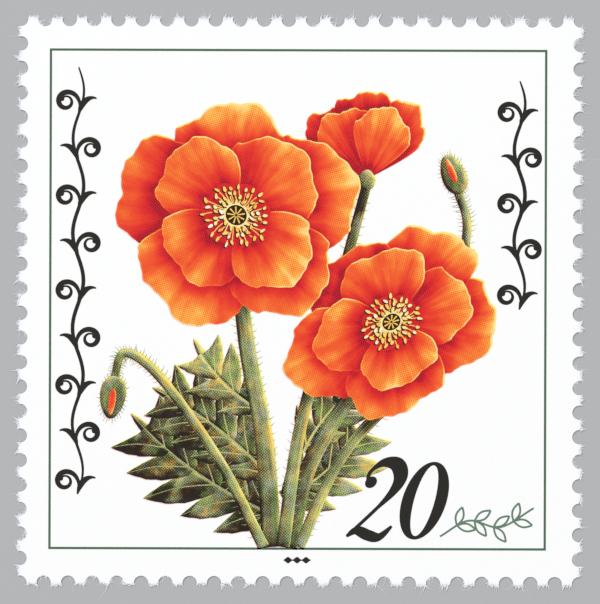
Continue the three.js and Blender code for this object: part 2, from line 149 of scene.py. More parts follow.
# Closed buds: (name, centre, heading, length, width). SLIT is the strip of petal that shows in
# each: its shift, its length and its width, as shares of the bud's own length and width.
BUDS = (
    ("left_bud", -11.65 - 6.2j, -97, 2.7, 1.6),
    ("right_bud", 9.75 + 7.9j, 112, 2.6, 1.5),
)
SLIT = (0.1, 0.62, 0.28)
BUD_HAIRS = 34
BUD_HAIR_SHARES = (0.14, 0.3)  # how far they stand out, as a share of the bud
BUD_HAIR_TAPER = 0.8

# Stems from the foot up, with their widths at the foot.
STEMS = (
    (1.15, (-1.6 + FOOT * 1j, -2.1 - 9j, -3.2 - 3j, -3.9 + 3j)),
    (1.05, (-0.55 + FOOT * 1j, 0.7 - 10.6j, 3.2 - 6.2j, 5.6 - 2.5j)),
    (0.8, (-0.9 + FOOT * 1j, 0.2 - 8j, 2.4 + 0j, 4.3 + 7.2j)),
    (0.65, (-2.1 + FOOT * 1j, -4.9 - 10.2j, -8.6 - 5j, -10.9 - 3.4j, -11.6 - 5.2j)),
    (0.65, (0.1 + FOOT * 1j, 3.1 - 9.5j, 8.9 - 3j, 10.6 + 4j, 10 + 7j)),
)
STEM_TAPER = 0.35
HAIR_WIDTH = 0.06
HAIR_TAPER = 0.85
STEM_HAIR_LENGTHS = (0.25, 0.5)
STEM_HAIR_LEANS = (1.0, 1.5)  # in radians, from the way the stem goes

# Lobed leaves. `bend` is how far the midrib turns from root to tip.
Leaf = namedtuple("Leaf", "root heading length reach bend lobes tone")
LEAVES = (
    Leaf(-1.4 - 13.6j, 158, 11.2, 4, -26, 5, -0.07),
    Leaf(-0.9 - 12.6j, 26, 7.6, 3.3, 36, 4, 0.04),
    Leaf(-1.7 - 11.2j, 132, 9.4, 3.5, 22, 5, -0.01),
    Leaf(0.4 - 9.6j, 66, 6.6, 2.8, -38, 3, 0.08),
    Leaf(-2.4 - 7j, 150, 6.2, 2.6, -34, 3, 0.05),
)
LOBE_LEAN = 50  # from the midrib to a lobe
LEAF_TOOTH = 0.09  # how far the teeth of a leaf's margin stand out
MIDRIB = 0.18
VEIN = 0.1
VEIN_TAPER = 0.8

# Ornament and numeral.
SCROLLS = (  # (name, x, low end, high end, volutes)
    ("left_scroll", -13.85, -12.3, 14.6, 9),
    ("right_scroll", 13.95, -0.6, 13.8, 5),
)
SCROLL_SWAY = 0.34
VOLUTE = (4.9, 0.53, 3.25)  # length, first and last bend in radians per millimetre
SCROLL_LEAF = (1.75, -0.1, -1.9)
NUMERAL_HEIGHT = 4.9
NUMERAL_FOOT = -15.1
NUMERAL_SLANT = 0.26
TWO_LEFT = 2.9
ZERO_LEFT = 5.9
ZERO = (0.29, 0.5)  # half width and half height, over the numeral's height
ZERO_COUNTER = (0.135, 0.455)
SPRIG_PATH = (9 - 14.9j, 10.8 - 13.9j, 12.8 - 14.3j, 14.9 - 13.1j)
SPRIG_LINE = 0.12
SPRIG_LEAF = 1.2
FOOT_ORNAMENT = (1.7, 0.4, 0.72)  # width, height, and how far it is below the frame line

# How the picture is painted and printed.
LIGHT = np.exp(1j * math.radians(48))  # where the painted light comes from
SHADOW_STEP = 0.16  # how far painted shadows fall away from it
SHADOW_SOFTNESS = 0.75
# How far the yellow and the red plate were laid out of register.
FRINGES = {"yellow_fringe": 0.045 + 0.05j, "pink_fringe": -0.04 - 0.035j}
RING_DEPTHS = (0.07, 0.2, 0.45)  # points within a painted shape, at these distances from its edge
INNER_SPACING = 0.34  # and elsewhere in it
SCREEN_PITCH = 0.1265  # of the halftone dots

# The camera, the floor and the lights.
VIEW_HEIGHT = 38.05
VIEW_CENTRE = -0.003 - 0.028j
VIEW_ROLL = 0.18
LENS = 85.0
SENSOR = 24.0
NEAREST, FURTHEST = 0.001, 10  # what the camera sees, in metres
FLOOR_RADIUS = 700
FLAT_RADIUS = 200
SWEEP_HEIGHT = 120
FLOOR_DROP = 0.01
FLOOR_STEPS = 96
FLOOR_RINGS = 24
LIGHTS = (  # (name, place and size in metres, power in watts)
    ("key", (-0.66, 0.84, 1.26), 0.54, 15.95),
    ("fill", (1.05, -0.6, 1.5), 1.2, 8.4),
)
SKY = {"Color": (0.97, 0.98, 1.0, 1), "Strength": 0.5}

rng = np.random.default_rng(35)


# ------------ points and lines


def ray(angle, distance=1.0):
    """The step of that distance at that angle, in radians."""
    return distance * np.exp(1j * np.asarray(angle))


def full_turn(steps):
    """Evenly spaced angles, one for each point of a closed outline."""
    return 2 * np.pi * np.arange(steps) / steps


def shares(count):
    """Evenly spaced numbers from 0 to 1, one for each point of a line."""
    return np.linspace(0, 1, count)


def hump(s):
    """Rises from 0 to 1 and falls again, as s goes from 0 to 1."""
    return np.maximum(0, np.sin(np.pi * s))


def taper(width, loss=0.0):
    """A stroke's width, of which that share is lost by its end."""
    return lambda s: width * (1 - loss * s)


def random_run(seed):
    """Draws numbers between two limits, in the repeatable run that gave the sheet its outline."""
    state = seed

    def drawn(limits):
        nonlocal state
        state = (state * 1664525 + 1013904223) % 2**32
        return limits[0] + (limits[1] - limits[0]) * state / 2**32

    return drawn


def smooth_curve(control, steps):
    """A smooth curve through every control point (Catmull-Rom)."""
    control = np.array(control)
    through = np.concatenate([[2 * control[0] - control[1]], control, [2 * control[-1] - control[-2]]])
    a, b, c, d = (through[k : len(control) - 1 + k, None] for k in range(4))
    t = np.arange(steps) / steps
    points = 0.5 * (
        2 * b + (c - a) * t + (2 * a - 5 * b + 4 * c - d) * t**2 + (3 * b - a - 3 * c + d) * t**3
    )
    return np.append(points.ravel(), control[-1])


def ribbon(line, width):
    """The outline of a stroke along a line; width(s) is its full width at share s of the line."""
    line = np.asarray(line)
    ahead = np.append(line[1:], line[-1])
    behind = np.insert(line[:-1], 0, line[0])
    across = 1j * (ahead - behind) / abs(ahead - behind)
    half = width(shares(len(line))) / 2
    return np.concatenate([line + across * half, (line - across * half)[::-1]])


def curl(start, heading, side, length, first_bend, last_bend, steps):
    """A line whose bend to that side, in radians per millimetre, changes evenly along it."""
    step = length / steps
    turns = side * step * (first_bend + (last_bend - first_bend) * (np.arange(steps) + 0.5) / steps)
    angles = heading + np.cumsum(turns) - turns / 2
    return start + np.insert(np.cumsum(ray(angles, step)), 0, 0)


def bowed(a, b, bulge, steps):
    """A bowed line between two points."""
    s = shares(steps + 1)
    return a + (b - a) * s + 1j * (b - a) / abs(b - a) * bulge * hump(s)


def disc(centre, radius, steps):
    return centre + ray(full_turn(steps), radius)


def rectangle(width, height):
    """The corners, counterclockwise from the lower left."""
    corner = complex(width, height) / 2
    return np.array([-corner, corner.conjugate(), corner, -corner.conjugate()])


def inward(outline):
    """The way into a counterclockwise outline at each of its points."""
    ahead = np.roll(outline, -1) - np.roll(outline, 1)
    return 1j * ahead / np.maximum(abs(ahead), 1e-9)


def nearest(places, line, closed=False):
    """Where on a line each place is nearest to: its share of the line's steps, how far to the
    left of the line the place is, and the line's direction there."""
    starts = line if closed else line[:-1]
    steps = (np.roll(line, -1) if closed else line[1:]) - starts
    keep = abs(steps) > 1e-9
    numbers, starts, steps = np.flatnonzero(keep), starts[keep], steps[keep]
    offsets = places[:, None] - starts[None, :]
    share = np.clip(np.real(offsets * np.conj(steps)) / abs(steps) ** 2, 0, 1)
    gaps = abs(offsets - share * steps)
    best = gaps.argmin(1)
    rows = np.arange(len(places))
    side = np.sign(np.imag(np.conj(steps[best]) * offsets[rows, best]))
    along = (numbers[best] + share[rows, best]) / (len(line) - (not closed))
    return along, gaps[rows, best] * side, steps[best] / abs(steps[best])


def is_inside(places, outline):
    """Which places an outline holds."""
    a, b = outline[None, :], np.roll(outline, -1)[None, :]
    p = places[:, None]
    spans = (a.imag > p.imag) != (b.imag > p.imag)
    with np.errstate(divide="ignore", invalid="ignore"):
        crossing = a.real + (b.real - a.real) * (p.imag - a.imag) / (b.imag - a.imag)
    return (spans & (p.real < crossing)).sum(1) % 2 == 1


def near(places, outline, margin):
    """Which places are in an outline's box, widened by a margin."""
    x, y = (
        (part(outline).min() - margin < part(places)) & (part(places) < part(outline).max() + margin)
        for part in (np.real, np.imag)
    )
    return x & y


def grid_over(outline, spacing):
    """Places over an outline's box, from one square grid for the whole sheet."""
    x, y = (
        np.round(np.arange(part.min(), part.max(), spacing) / spacing) * spacing
        for part in (outline.real, outline.imag)
    )
    return (x + 1j * y[:, None]).ravel()


# ------------ the perforated outline


def perforated_outline():
    """The sheet's edge, counterclockwise from the lower left corner hole, and which of its points
    were torn. Each hole's arc runs on a little past the line of hole centres, to the shoulders of
    the torn teeth, whose edge is ragged."""
    drawn = random_run(OUTLINE_SEED)

    def shoulder():
        return math.asin(drawn(SHOULDERS) / HOLE_RADIUS)

    starts = rectangle(TEETH * PITCH_X, TEETH * PITCH_Y)
    arcs, teeth = [], []
    for start, degrees, pitch in zip(starts, (0, 90, 180, -90), (PITCH_X, PITCH_Y) * 2):
        heading = math.radians(degrees)
        for hole in range(TEETH):
            centre = start + ray(heading, pitch * hole)
            first = heading + (np.pi / 2 if hole == 0 else np.pi) + shoulder()
            last = heading - shoulder()
            steps = HOLE_STEPS // 2 if hole == 0 else HOLE_STEPS
            arcs.append(centre + ray(np.linspace(first, last, steps + 1), HOLE_RADIUS))
            tips = []
            for share in TIP_SHARES:
                along = pitch * (share + drawn(TIP_SHIFTS))
                out = min(TORN_REACH, drawn(TIPS))
                tips.append(centre + ray(heading, along) - 1j * ray(heading, out))
            teeth.append(tips)
    outline, torn = [], []
    for arc, tips, next_arc in zip(arcs, teeth, arcs[1:] + arcs[:1]):
        corners = np.array([arc[-1], *tips, next_arc[0]])
        s = np.arange(1, 3 * TEAR_STEPS) / TEAR_STEPS
        edge = np.interp(s, range(4), corners)
        way_in = 1j * (corners[-1] - corners[0]) / abs(corners[-1] - corners[0])
        ragged = np.minimum(1, np.minimum(s, 3 - s) / SHOULDER_SHARE)
        spread, most = FRAYED
        edge += way_in * ragged * np.minimum(most, abs(rng.normal(0, spread, len(s))))
        outline += [arc, edge]
        torn += [np.zeros(len(arc), bool), np.ones(len(edge), bool)]
    return np.concatenate(outline), np.concatenate(torn)


# ------------ shapes of the print


@dataclass
class Area:
    """One printed shape. `grain` gives the two directions that its painting follows, `tone` makes
    it lighter or darker, and shapes of one group cast no painted shadow on each other."""

    node: str
    material: str
    outline: np.ndarray
    grain: Callable = None
    tone: float = 0.0
    group: str = ""

    def __post_init__(self):
        if np.imag(np.conj(self.outline) * np.roll(self.outline, -1)).sum() < 0:
            self.outline = self.outline[::-1]
        self.group = self.group or self.node


def seen(bloom, radius, angle):
    """Points of an open bloom, at radii and angles in the bloom's own plane."""
    lean = math.radians(bloom.lean)
    flat = ray(angle - lean, radius)
    return bloom.centre + (flat.real * bloom.squash + 1j * flat.imag) * ray(lean)


def unseen(bloom, places):
    """The radii and angles in the bloom's own plane of places in the picture."""
    lean = math.radians(bloom.lean)
    flat = (places - bloom.centre) * ray(-lean)
    flat = (flat.real / bloom.squash + 1j * flat.imag) * ray(lean)
    return abs(flat), np.angle(flat)


def petal(bloom, number, heading, length, half_spread, wave, tone):
    """A broad fan with a ruffled, finely crimped rim, whose base is at the bloom's centre. It is
    painted across by angle, and out by radius."""
    t = 2 * np.arange(PETAL_STEPS) / PETAL_STEPS - 1
    rim = np.sqrt(np.maximum(0, np.cos(np.pi * t / 2)))
    ruffle = 1 + 0.035 * np.sin(9 * t + wave) + 0.02 * np.sin(19 * t + 2 * wave)
    crimp = 0.006 * np.sin(41 * t + 3 * wave) + 0.004 * np.sin(67 * t + wave)
    angle = np.radians(heading + half_spread * np.sin(np.pi * t / 2))

    def grain(places):
        radius, angle = unseen(bloom, places)
        turned = (angle - math.radians(heading) + np.pi) % (2 * np.pi) - np.pi
        return turned / math.radians(half_spread), radius / length

    outline = seen(bloom, length * rim * (ruffle + crimp), angle)
    return Area(f"{bloom.name}_petal_{number}", "printed_petal", outline, grain, tone)


def petals(bloom):
    """The petals of an open bloom, the outer ones first."""
    tones = enumerate(PETAL_TONES, 1)
    for count, first, share, varied, beat, half_spread, ruffling in PETAL_RINGS:
        for i in range(count):
            number, tone = next(tones)
            heading = bloom.turn + first + 360 / count * i
            length = bloom.radius * share * (1 + varied * math.sin(beat * i + bloom.turn))
            yield petal(bloom, number, heading, length, half_spread, ruffling * i + bloom.turn, tone)


def throat(bloom):
    """The dark heart, whose rim waves seven times."""
    radius, turn = THROAT_SHARE * bloom.radius, full_turn(84)

    def grain(places):
        distance, angle = unseen(bloom, places)
        return angle / np.pi, distance / radius

    outline = seen(bloom, radius * (1 + 0.05 * np.sin(7 * turn)), turn)
    return Area(bloom.name + "_throat", "printed_throat", outline, grain)


def egg(centre, heading, length, width, steps=44):
    """An egg shape, with its narrower end along its heading."""
    angle = full_turn(steps)
    half = width / 2 * np.sin(angle) * (1 - 0.18 * np.cos(angle))
    return centre + (length / 2 * np.cos(angle) + 1j * half) * ray(math.radians(heading))


def painted_egg(node, material, tone, centre, heading, length, width):
    def grain(places):
        local = (places - centre) * ray(-math.radians(heading))
        return 2 * local.imag / width, 0.5 + local.real / length

    return Area(node, material, egg(centre, heading, length, width), grain, tone)


def stamens(bloom):
    """Filaments with an anther at each tip, each anther before its own small shadow."""
    node = bloom.name + "_stamens"
    inner, outer = (share * bloom.radius for share in STAMEN_SHARES)
    areas = []
    for ring, (count, *reaches) in enumerate(STAMEN_RINGS):
        for i in range(count):
            angle = 2 * np.pi * (i + rng.uniform(-0.25, 0.25)) / count + ring
            tip = seen(bloom, outer * rng.uniform(*reaches), angle)
            root = seen(bloom, inner * 0.9, angle - 0.15)
            thread = ribbon(bowed(root, tip, rng.uniform(*FILAMENT_BOWS), 6), taper(FILAMENT))
            length, width = rng.uniform(*ANTHER_LENGTHS), rng.uniform(*ANTHER_WIDTHS)
            heading = math.degrees(angle + rng.normal(0, 0.6))
            anther = egg(tip, heading, length, width, ANTHER_STEPS)
            shadow_size = (length + SHADOW_RIM, width + SHADOW_RIM)
            shadow = egg(tip + ANTHER_SHADOW, heading, *shadow_size, ANTHER_STEPS)
            areas += [
                Area(node, "printed_anther", thread, tone=0.45 + 0.25 * ring),
                Area(node, "printed_eye", shadow),
                Area(node, "printed_anther", anther, tone=rng.uniform(0.1, 1)),
            ]
    return areas


def eye(bloom):
    """A dark capsule with a pale scalloped rim and pale rays on its cap."""
    node, radius, turn = bloom.name + "_eye", EYE_SHARE * bloom.radius, full_turn(72)
    rim = seen(bloom, radius * 1.12 * (1 + 0.06 * np.cos(EYE_RAYS * turn)), turn)
    areas = [
        Area(node, "printed_anther", rim, tone=0.75),
        Area(node, "printed_eye", seen(bloom, radius * 0.94, full_turn(40))),
    ]
    for angle in full_turn(EYE_RAYS) + 0.2:
        line = seen(bloom, radius * np.array([0.12, 0.45, 0.78]), angle)
        areas.append(Area(node, "printed_anther", ribbon(line, taper(EYE_RAY, -1)), tone=0.35))
    return areas


def cup():
    """The bloom seen from the side."""
    bloom = Bloom("cup", CUP_ROOT)
    areas = [petal(bloom, i + 1, *shape, 1.9 * i, tone) for i, (*shape, tone) in enumerate(CUP_PETALS)]
    return [*areas, painted_egg("cup_base", "printed_foliage", 0.05, *CUP_BASE)]


def bud(name, centre, heading, length, width):
    """A closed bud among its hairs, and the strip of petal that shows in it."""
    way = ray(math.radians(heading))
    areas = []
    for angle in full_turn(BUD_HAIRS):
        rim = way * complex(length * math.cos(angle), width * math.sin(angle)) / 2
        tip = rim * (1 + rng.uniform(*BUD_HAIR_SHARES)) + ray(rng.uniform(0, 6.3), 0.05)
        hair = ribbon(centre + np.linspace(rim * 0.9, tip, 3), taper(HAIR_WIDTH, BUD_HAIR_TAPER))
        areas.append(Area(name, "printed_foliage", hair))
    shift, long, wide = SLIT
    slit = (centre + way * length * shift, heading, length * long, width * wide)
    return areas + [
        painted_egg(name, "printed_foliage", 0.08, centre, heading, length, width),
        painted_egg(name + "_slit", "printed_petal", 0.0, *slit),
    ]


def line_grain(line, width):
    """Across a stroke by its width, and out along it."""

    def grain(places):
        along, left, _ = nearest(places, line)
        return 2 * left / width(along), along

    return grain


def green(outline, grain, tone, group, material="printed_foliage"):
    return Area("stems_and_leaves", material, outline, grain, tone, group)


def stem(width, path, group):
    """A stem before the hairs on both its sides."""
    line = smooth_curve(path, 14)

    def full(s):
        return width * (1.1 - STEM_TAPER * s)

    areas = []
    for at in range(2, len(line) - 2):
        way = np.angle(line[at + 1] - line[at - 1])
        for side in (1, -1):
            root = line[at] + ray(way + side * np.pi / 2, full(at / len(line)) * 0.4)
            lean = way + side * rng.uniform(*STEM_HAIR_LEANS)
            tip = root + ray(lean, rng.uniform(*STEM_HAIR_LENGTHS))
            hair = ribbon(bowed(root, tip, side * 0.04, 2), taper(HAIR_WIDTH, HAIR_TAPER))
            areas.append(green(hair, None, 0.05, group))
    return areas + [green(ribbon(line, full), line_grain(line, full), 0.0, group)]


def leaf_rib(leaf):
    """The midrib of a leaf: the point and the direction at each share of its length."""
    start, turn = math.radians(leaf.heading), math.radians(leaf.bend)

    def rib(s):
        half = turn * np.asarray(s) / 2
        return leaf.root + ray(start + half, leaf.length * s * np.sin(half) / half), start + turn * s

    return rib


def leaf_lobes(leaf, rib):
    """Each lobe of a leaf as its side of the midrib, its vein and its outline."""
    pitch = 1 / (leaf.lobes + 0.75)
    for side in (1, -1):
        for j in range(leaf.lobes):
            (low, low_way), (middle, way), (high, high_way) = (
                rib((j + part) * pitch) for part in (0.02, 0.5, 1.12)
            )
            swell = hump(0.2 + 0.72 * (j + 0.5) * pitch) ** 0.8
            size = leaf.reach * swell * (1 + 0.08 * math.sin(3 * j + leaf.heading))
            out = ray(way + side * math.radians(LOBE_LEAN), size)
            back = 1j * side * out
            low_notch = low + ray(low_way + side * np.pi / 2, 0.1 * leaf.reach)
            high_notch = high + ray(high_way + side * np.pi / 2, 0.12 * leaf.reach)
            tip = middle + out
            root = rib(max(0.01, (j + 0.2) * pitch))[0]
            vein = smooth_curve((root, middle + 0.45 * out, tip), 4)
            lower = lobe_margin(low_notch, middle + 0.52 * out + 0.25 * back, tip)
            upper = lobe_margin(tip, middle + 0.6 * out - 0.13 * back, high_notch)
            yield side, vein, np.concatenate([[low], lower, upper[1:], [high]])


def lobe_margin(start, belly, end):
    """A bowed, finely toothed margin."""
    s = shares(13)
    bulge = belly - (start + end) / 2
    bow = start * (1 - s) ** 2 + 2 * belly * s * (1 - s) + end * s**2 + 0.3 * bulge * hump(s)
    return bow + LEAF_TOOTH * (s * 4 % 1) * hump(s) * bulge / abs(bulge)


def lobed_leaf(leaf, group):
    """A leaf's narrow blade, its lobes with their veins, and its midrib."""
    rib = leaf_rib(leaf)
    spine = rib(0.001 + 0.999 * shares(25))[0]

    def blade(s):
        return 0.34 * leaf.reach * (1 - s) ** 0.6 * (1 + 0.6 * s) + 0.02

    areas = [green(ribbon(spine, blade), line_grain(spine, blade), leaf.tone, group)]
    for side, vein, outline in leaf_lobes(leaf, rib):
        grain = line_grain(vein, taper(leaf.reach * 0.55))
        areas += [
            green(outline, grain, leaf.tone - 0.04 * side, group),
            green(ribbon(vein, taper(VEIN, VEIN_TAPER)), None, leaf.tone, group, "printed_vein"),
        ]
    midrib = ribbon(spine, taper(MIDRIB, VEIN_TAPER))
    return areas + [green(midrib, None, leaf.tone, group, "printed_vein")]


def scroll_outlines(x, low, high, volutes):
    """A vertical scroll: a swaying stem, with a volute and a drop-shaped leaf in every bend."""
    s = shares(12 * volutes + 1)
    swaying = x + SCROLL_SWAY * np.sin(np.pi * volutes * s) + 1j * (low + (high - low) * s)
    outlines = [ribbon(swaying, lambda s: 0.08 + 0.16 * np.sqrt(hump(s)))]
    for k in range(volutes):
        side = 1 if k % 2 == 0 else -1
        start = complex(x, low + (high - low) * k / volutes)
        rise = math.atan2(high - low, side * SCROLL_SWAY * np.pi * volutes)
        volute = curl(start, rise, side, *VOLUTE, 40)
        leaf = curl(start, rise + side * 0.1, side, *SCROLL_LEAF, 14)
        outlines += [
            ribbon(volute, lambda s: 0.11 + 0.23 * hump(np.minimum(0.999, 1.05 * s)) ** 1.3),
            disc(volute[-1], 0.15, 18),
            ribbon(leaf, lambda s: 0.09 + 0.36 * hump(s) ** 1.2 * (1 - 0.35 * s)),
        ]
    return outlines


def numeral_places(left, points):
    """Numeral points are drawn in a box of height 1, then slanted and placed."""
    x, y = points.real, points.imag
    return left + NUMERAL_HEIGHT * (x + NUMERAL_SLANT * y) + 1j * (NUMERAL_FOOT + NUMERAL_HEIGHT * y)


def two_outlines():
    crown = (0.13 + 0.72j, 0.12 + 0.86j, 0.26 + 0.985j, 0.44 + 0.965j)
    neck = (0.53 + 0.8j, 0.47 + 0.6j, 0.28 + 0.34j, 0.04 + 0.045j)
    foot = (0.03 + 0.04j, 0.14 + 0.115j, 0.3 + 0.055j, 0.45 + 0.03j, 0.58 + 0.17j)

    def swell(s):
        return 0.05 + 0.135 * np.where(abs(s - 0.5) < 0.32, hump((s - 0.18) / 0.64), 0) ** 1.2

    shapes = (
        ribbon(smooth_curve(crown + neck, 8), swell),
        ribbon(smooth_curve(foot, 8), lambda s: 0.035 + 0.1 * hump(s) ** 0.9),
        disc(0.165 + 0.735j, 0.075, 28),
    )
    return [numeral_places(TWO_LEFT, shape) for shape in shapes]


def zero_outline(half_width, half_height):
    angle = full_turn(72)
    oval = half_width * np.cos(angle) + 1j * half_height * np.sin(angle)
    return numeral_places(ZERO_LEFT, 0.3 + 0.5j + oval)


def sprig_outlines():
    """A thin line drawing of a twig with pairs of leaves."""
    twig = smooth_curve(SPRIG_PATH, 15)
    outlines = [ribbon(twig, taper(SPRIG_LINE))]
    for i in (9, 18, 27, 36):
        way = np.angle(twig[i + 3] - twig[i - 3])
        for side in (1, -1):
            tip = twig[i] + ray(way + side * 0.75, SPRIG_LEAF)
            for bulge in (0.24, -0.24):
                outlines.append(ribbon(bowed(twig[i], tip, bulge, 9), taper(SPRIG_LINE)))
    return outlines


def foot_ornament():
    """A row of three lozenges on a fine line."""
    width, height, drop = FOOT_ORNAMENT
    line = width * (shares(61) - 0.5) - 1j * (FRAME_HEIGHT / 2 + drop)
    return ribbon(line, lambda s: 0.07 + (height - 0.07) * np.sin(3 * np.pi * s) ** 2)


def line_work():
    """(node, material, outlines) of what is printed solid inside the frame line, or left bare."""
    for name, *shape in SCROLLS:
        yield name, "near_black_ink", scroll_outlines(*shape)
    yield "numeral_2", "near_black_ink", two_outlines()
    yield "numeral_0", "near_black_ink", [zero_outline(*ZERO)]
    yield "numeral_0", "bare", [zero_outline(*ZERO_COUNTER)]
    yield "sprig", "sprig_green_ink", sprig_outlines()
    yield "foot_ornament", "near_black_ink", [foot_ornament()]


def picture():
    """Every printed shape but the frame line, back to front."""
    areas = []
    for number, leaf in enumerate(LEAVES):
        areas += lobed_leaf(leaf, f"leaf {number}")
    for number, (width, path) in enumerate(STEMS):
        areas += stem(width, path, f"stem {number}")
    for shape in BUDS:
        areas += bud(*shape)
    areas += cup()
    for bloom in OPEN_BLOOMS:
        areas += [*petals(bloom), throat(bloom), *stamens(bloom), *eye(bloom)]
    fringes = [
        Area(area.node, name, area.outline + shift)
        for name, shift in FRINGES.items()
        for area in areas
        if area.material in ("printed_foliage", "printed_petal") and area.grain
    ]
    for node, material, outlines in line_work():
        areas += [Area(node, material, outline) for outline in outlines]
    return fringes + areas


def frame_line():
    """The frame line, and the room in it that stays bare."""
    return [
        Area("frame_line", material, rectangle(FRAME_WIDTH + line, FRAME_HEIGHT + line))
        for material, line in (("frame_green_ink", FRAME_LINE), ("bare", -FRAME_LINE))
    ]


# ------------ from outlines to triangles


def shading_points(areas):
    """Points inside the painted shapes, where the painting's light and shade are worked out."""
    points = [np.array([])]
    for k, area in enumerate(areas):
        if not area.grain:
            continue
        rings = [(area.outline + inward(area.outline) * depth, 0.9 * depth) for depth in RING_DEPTHS]
        grid = grid_over(area.outline, INNER_SPACING)
        for places, margin in [*rings, (grid, RING_DEPTHS[-1] + 0.5 * INNER_SPACING)]:
            places = places[nearest(places, area.outline, closed=True)[1] > margin]
            covered = np.zeros(len(places), bool)
            for other in areas[k + 1 :]:
                covered |= is_inside(places, other.outline)
            points.append(places[~covered])
    return np.concatenate(points)


def triangulate(outlines, extra):
    """The corners and the triangles of shapes that lie on each other, with the extra points as
    corners too, and the number of the last shape that holds each triangle, or -1."""
    starts = np.cumsum([0] + [len(outline) for outline in outlines])
    places = np.concatenate([*outlines, extra])
    faces = [list(range(a, b)) for a, b in zip(starts, starts[1:])]
    found = delaunay_2d_cdt([Vector((p.real, p.imag)) for p in places], [], faces, 1, 1e-6, True)
    corners = np.array([complex(*v) for v in found[0]])
    owner = np.array([max(shapes, default=-1) for shapes in found[5]])
    triangles = np.array(found[2])
    a, b, c = corners[triangles].T
    turned = np.imag(np.conj(b - a) * (c - a)) < 0
    triangles[turned] = triangles[turned, ::-1]
    return corners, triangles, owner


def painted_shadow(areas, k, places):
    """How dark the shapes in front of shape k make it, from 0 to 1."""
    light = np.ones(len(places))
    for other in areas[k + 1 :]:
        if other.group == areas[k].group or not other.grain:
            continue
        seen_from = places + LIGHT * SHADOW_STEP
        close = near(seen_from, other.outline, 3 * SHADOW_SOFTNESS)
        if close.any():
            gap = np.maximum(0, -nearest(seen_from[close], other.outline, closed=True)[1])
            light[close] = np.minimum(light[close], 1 - np.exp(-((gap / SHADOW_SOFTNESS) ** 1.3)))
    return 1 - light


# The numbers that the materials paint by. They are stored for each corner of each triangle.
PAINTED_BY = ("across", "out", "edge", "lit", "shade", "tone")


def paint_values(areas, corners, triangles, owner):
    values = {name: np.zeros(triangles.shape) for name in PAINTED_BY}
    for k, area in enumerate(areas):
        rows = np.flatnonzero(owner == k)
        values["tone"][rows] = area.tone
        values["edge"][rows] = 1  # as if no edge were near
        if not area.grain or not len(rows):
            continue
        used, back = np.unique(triangles[rows], return_inverse=True)
        places = corners[used]
        across, out = area.grain(places)
        _, gap, way = nearest(places, area.outline, closed=True)
        lit = np.real(np.conj(-1j * way) * LIGHT)
        measured = (across, out, np.maximum(gap, 0), lit, painted_shadow(areas, k, places))
        for name, numbers in zip(PAINTED_BY, measured):
            values[name][rows] = numbers[back].reshape(-1, 3)
    return values


# ------------ materials

# Numbers of sockets: the colours of a Mix node, as its other sockets have the same names, and what
# is used of an Attribute and of a Texture Coordinate node.
MIX_A, MIX_B, MIXED = 6, 7, 2
FACTOR = 2
OBJECT = 3


class Value:
    """What a shader node gives. Each method adds the node that works with it."""

    def __init__(self, socket):
        self.socket = socket

    def then(self, kind, inputs, **settings):
        return add_node(self.socket.id_data, kind, inputs, **settings)

    def math(self, operation, *others):
        return self.then("Math", [self, *others], operation=operation)[0]

    def __add__(self, other):
        return self.math("ADD", other)

    def __sub__(self, other):
        return self.math("SUBTRACT", other)

    def __mul__(self, other):
        return self.math("MULTIPLY", other)

    def scaled(self, factor):
        return self.then("VectorMath", [self, [factor] * 3], operation="MULTIPLY")[0]

    def noise(self, scale, detail=2.0):
        """Smooth noise from about -0.5 to 0.5 at this place."""
        return self.then("TexNoise", {"Vector": self, "Scale": scale, "Detail": detail})[0] - 0.5

    def step(self, low, high, to=(0.0, 1.0)):
        """A smooth step, from to[0] below low to to[1] above high."""
        return self.then("MapRange", [self, low, high, *to], interpolation_type="SMOOTHSTEP")[0]

    def mix(self, a, b, blend="MIX"):
        """Colour a, with this share of b."""
        inputs = {"Factor": self, MIX_A: a, MIX_B: b}
        return self.then("Mix", inputs, data_type="RGBA", blend_type=blend)[MIXED]

    def ramp(self, stops):
        """The inks, and the black, between stops of (position, cyan, magenta, yellow, black)."""
        inks, black = self.then("ValToRGB", [self])
        elements = inks.socket.node.color_ramp.elements
        while len(elements) < len(stops):
            elements.new(0.5)
        for element, (position, *shown) in zip(elements, stops):
            element.position = position
            element.color = shown
        return inks, black

    def bump(self, strength, depth):
        """The tilt of a surface of this height, with hills of that depth in millimetres."""
        return self.then("Bump", {"Strength": strength, "Distance": depth * MM, "Height": self})[0]


def feed(node, inputs):
    """Gives a node its inputs: numbers, colours or other nodes' values."""
    for key, value in inputs.items() if isinstance(inputs, dict) else enumerate(inputs):
        if isinstance(value, Value):
            node.id_data.links.new(value.socket, node.inputs[key])
        else:
            node.inputs[key].default_value = value


def add_node(tree, kind, inputs=(), **settings):
    """What a new shader node gives."""
    node = tree.nodes.new("ShaderNode" + kind)
    for key, value in settings.items():
        setattr(node, key, value)
    feed(node, inputs)
    return [Value(socket) for socket in node.outputs]


def stored(tree, *names):
    """Numbers that were stored in the mesh."""
    return [add_node(tree, "Attribute", attribute_name=name)[FACTOR] for name in names]


def place_on(tree):
    """The place on the piece, in millimetres."""
    return add_node(tree, "TexCoord")[OBJECT].scaled(1 / MM)


def vector(x, y, z=0.0):
    return x.then("CombineXYZ", [x, y, z])[0]


PAPER_WHITE = (0.918, 0.918, 0.905, 1)
# Each ink's colour, the angle of its screen, and how far its dots stand out from the light that
# the paper spreads around them.
INKS = (
    ((0.0, 0.32, 0.74, 1), 15, 0.45),
    ((0.97, 0.006, 0.15, 1), 75, 0.36),
    ((1.0, 0.84, 0.004, 1), 0, 0.3),
    ((0.018, 0.015, 0.014, 1), 45, 0.72),
)
DOT_SOFTNESS = 0.35
MOTTLE = 0.12  # how much the amount of ink varies


